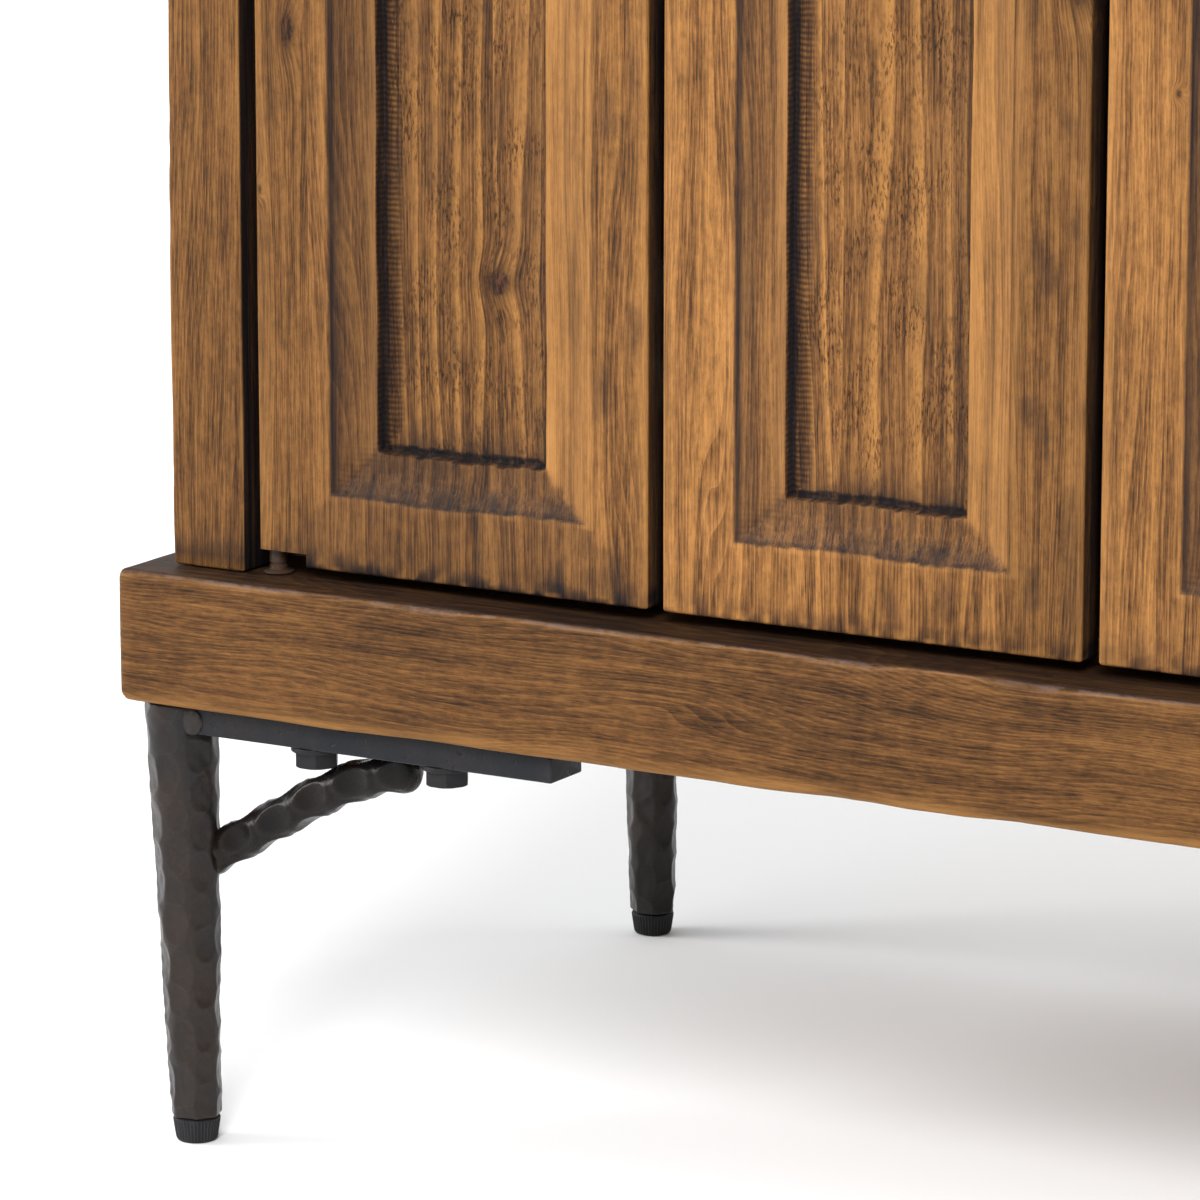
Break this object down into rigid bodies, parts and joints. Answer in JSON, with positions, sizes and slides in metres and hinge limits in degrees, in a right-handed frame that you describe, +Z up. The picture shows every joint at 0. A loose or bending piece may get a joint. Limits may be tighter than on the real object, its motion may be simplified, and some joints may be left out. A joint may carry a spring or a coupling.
{
  "type": "armoire",
  "caption": "Tall wardrobe with bifold doors carved with scooped panels, on a heavy plinth and tapered hammered iron legs with braces.",
  "frame": {"origin": "on the floor under the centre of the cabinet's bounding box", "axes": "+Z up; -Y is the front with the doors; +X is to the right seen from the front"},
  "size_m": [1.218, 0.6, 2.017],
  "materials": {
    "plinth_wood": "satin",
    "frame_wood": "satin",
    "door_wood": "satin",
    "inner_wood": "matte",
    "forged_iron": "satin",
    "bracket_steel": "satin",
    "glide_plastic": "matte",
    "hardware_steel": "satin"
  },
  "bodies": {
    "cabinet": {"plinth_front": "plinth_wood", "plinth_back": "plinth_wood", "plinth_left": "plinth_wood", "plinth_right": "plinth_wood", "top_board": "plinth_wood", "post_front_left": "frame_wood", "post_front_right": "frame_wood", "post_back_left": "frame_wood", "post_back_right": "frame_wood", "side_panel_left": "frame_wood", "side_panel_right": "frame_wood", "header_rail": "frame_wood", "back_panel": "inner_wood", "floor_board": "inner_wood", "shelf_lower": "inner_wood", "shelf_upper": "inner_wood", "hanging_rod": "hardware_steel", "rod_socket_left": "hardware_steel", "rod_socket_right": "hardware_steel", "guide_track": "hardware_steel", "pivot_lower_left": "hardware_steel", "pivot_lower_right": "hardware_steel", "leg_front_left": "forged_iron", "leg_front_right": "forged_iron", "leg_back_left": "forged_iron", "leg_back_right": "forged_iron", "brace_front_left": "forged_iron", "brace_front_right": "forged_iron", "brace_back_left": "forged_iron", "brace_back_right": "forged_iron", "bracket_front_left": "bracket_steel", "bracket_front_right": "bracket_steel", "bracket_back_left": "bracket_steel", "bracket_back_right": "bracket_steel"},
    "outer_leaf_left": {"door_outer_left": "door_wood", "pivot_upper_left": "hardware_steel", "hinge_lower_outer_left": "hardware_steel", "hinge_middle_outer_left": "hardware_steel", "hinge_upper_outer_left": "hardware_steel"},
    "inner_leaf_left": {"door_inner_left": "door_wood", "guide_pin_left": "hardware_steel", "pull_left": "forged_iron", "hinge_lower_inner_left": "hardware_steel", "hinge_middle_inner_left": "hardware_steel", "hinge_upper_inner_left": "hardware_steel"},
    "outer_leaf_right": {"door_outer_right": "door_wood", "pivot_upper_right": "hardware_steel", "hinge_lower_outer_right": "hardware_steel", "hinge_middle_outer_right": "hardware_steel", "hinge_upper_outer_right": "hardware_steel"},
    "inner_leaf_right": {"door_inner_right": "door_wood", "guide_pin_right": "hardware_steel", "pull_right": "forged_iron", "hinge_lower_inner_right": "hardware_steel", "hinge_middle_inner_right": "hardware_steel", "hinge_upper_inner_right": "hardware_steel"},
    "glide_front_left": {"glide_front_left": "glide_plastic"},
    "glide_front_right": {"glide_front_right": "glide_plastic"},
    "glide_back_left": {"glide_back_left": "glide_plastic"},
    "glide_back_right": {"glide_back_right": "glide_plastic"}
  },
  "joints": [
    {"name": "fold_left", "type": "hinge", "parent": "cabinet", "child": "outer_leaf_left", "pos_m": [-0.521, -0.263, 0.346], "axis": [0, 0, 1], "range_deg": [-85, 0]},
    {"name": "knuckle_left", "type": "hinge", "parent": "outer_leaf_left", "child": "inner_leaf_left", "pos_m": [-0.266, -0.247, 0.346], "axis": [0, 0, 1], "range_deg": [0, 170]},
    {"name": "fold_right", "type": "hinge", "parent": "cabinet", "child": "outer_leaf_right", "pos_m": [0.521, -0.263, 0.346], "axis": [0, 0, 1], "range_deg": [0, 85]},
    {"name": "knuckle_right", "type": "hinge", "parent": "outer_leaf_right", "child": "inner_leaf_right", "pos_m": [0.266, -0.247, 0.346], "axis": [0, 0, 1], "range_deg": [-170, 0]},
    {"name": "level_front_left", "type": "slide", "parent": "cabinet", "child": "glide_front_left", "axis": [0, 0, -1], "range_m": [0, 0.012]},
    {"name": "level_front_right", "type": "slide", "parent": "cabinet", "child": "glide_front_right", "axis": [0, 0, -1], "range_m": [0, 0.012]},
    {"name": "level_back_left", "type": "slide", "parent": "cabinet", "child": "glide_back_left", "axis": [0, 0, -1], "range_m": [0, 0.012]},
    {"name": "level_back_right", "type": "slide", "parent": "cabinet", "child": "glide_back_right", "axis": [0, 0, -1], "range_m": [0, 0.012]}
  ],
  "couplings": [
    {"joint": "knuckle_left", "follows": "fold_left", "ratio": -2},
    {"joint": "knuckle_right", "follows": "fold_right", "ratio": -2}
  ]
}
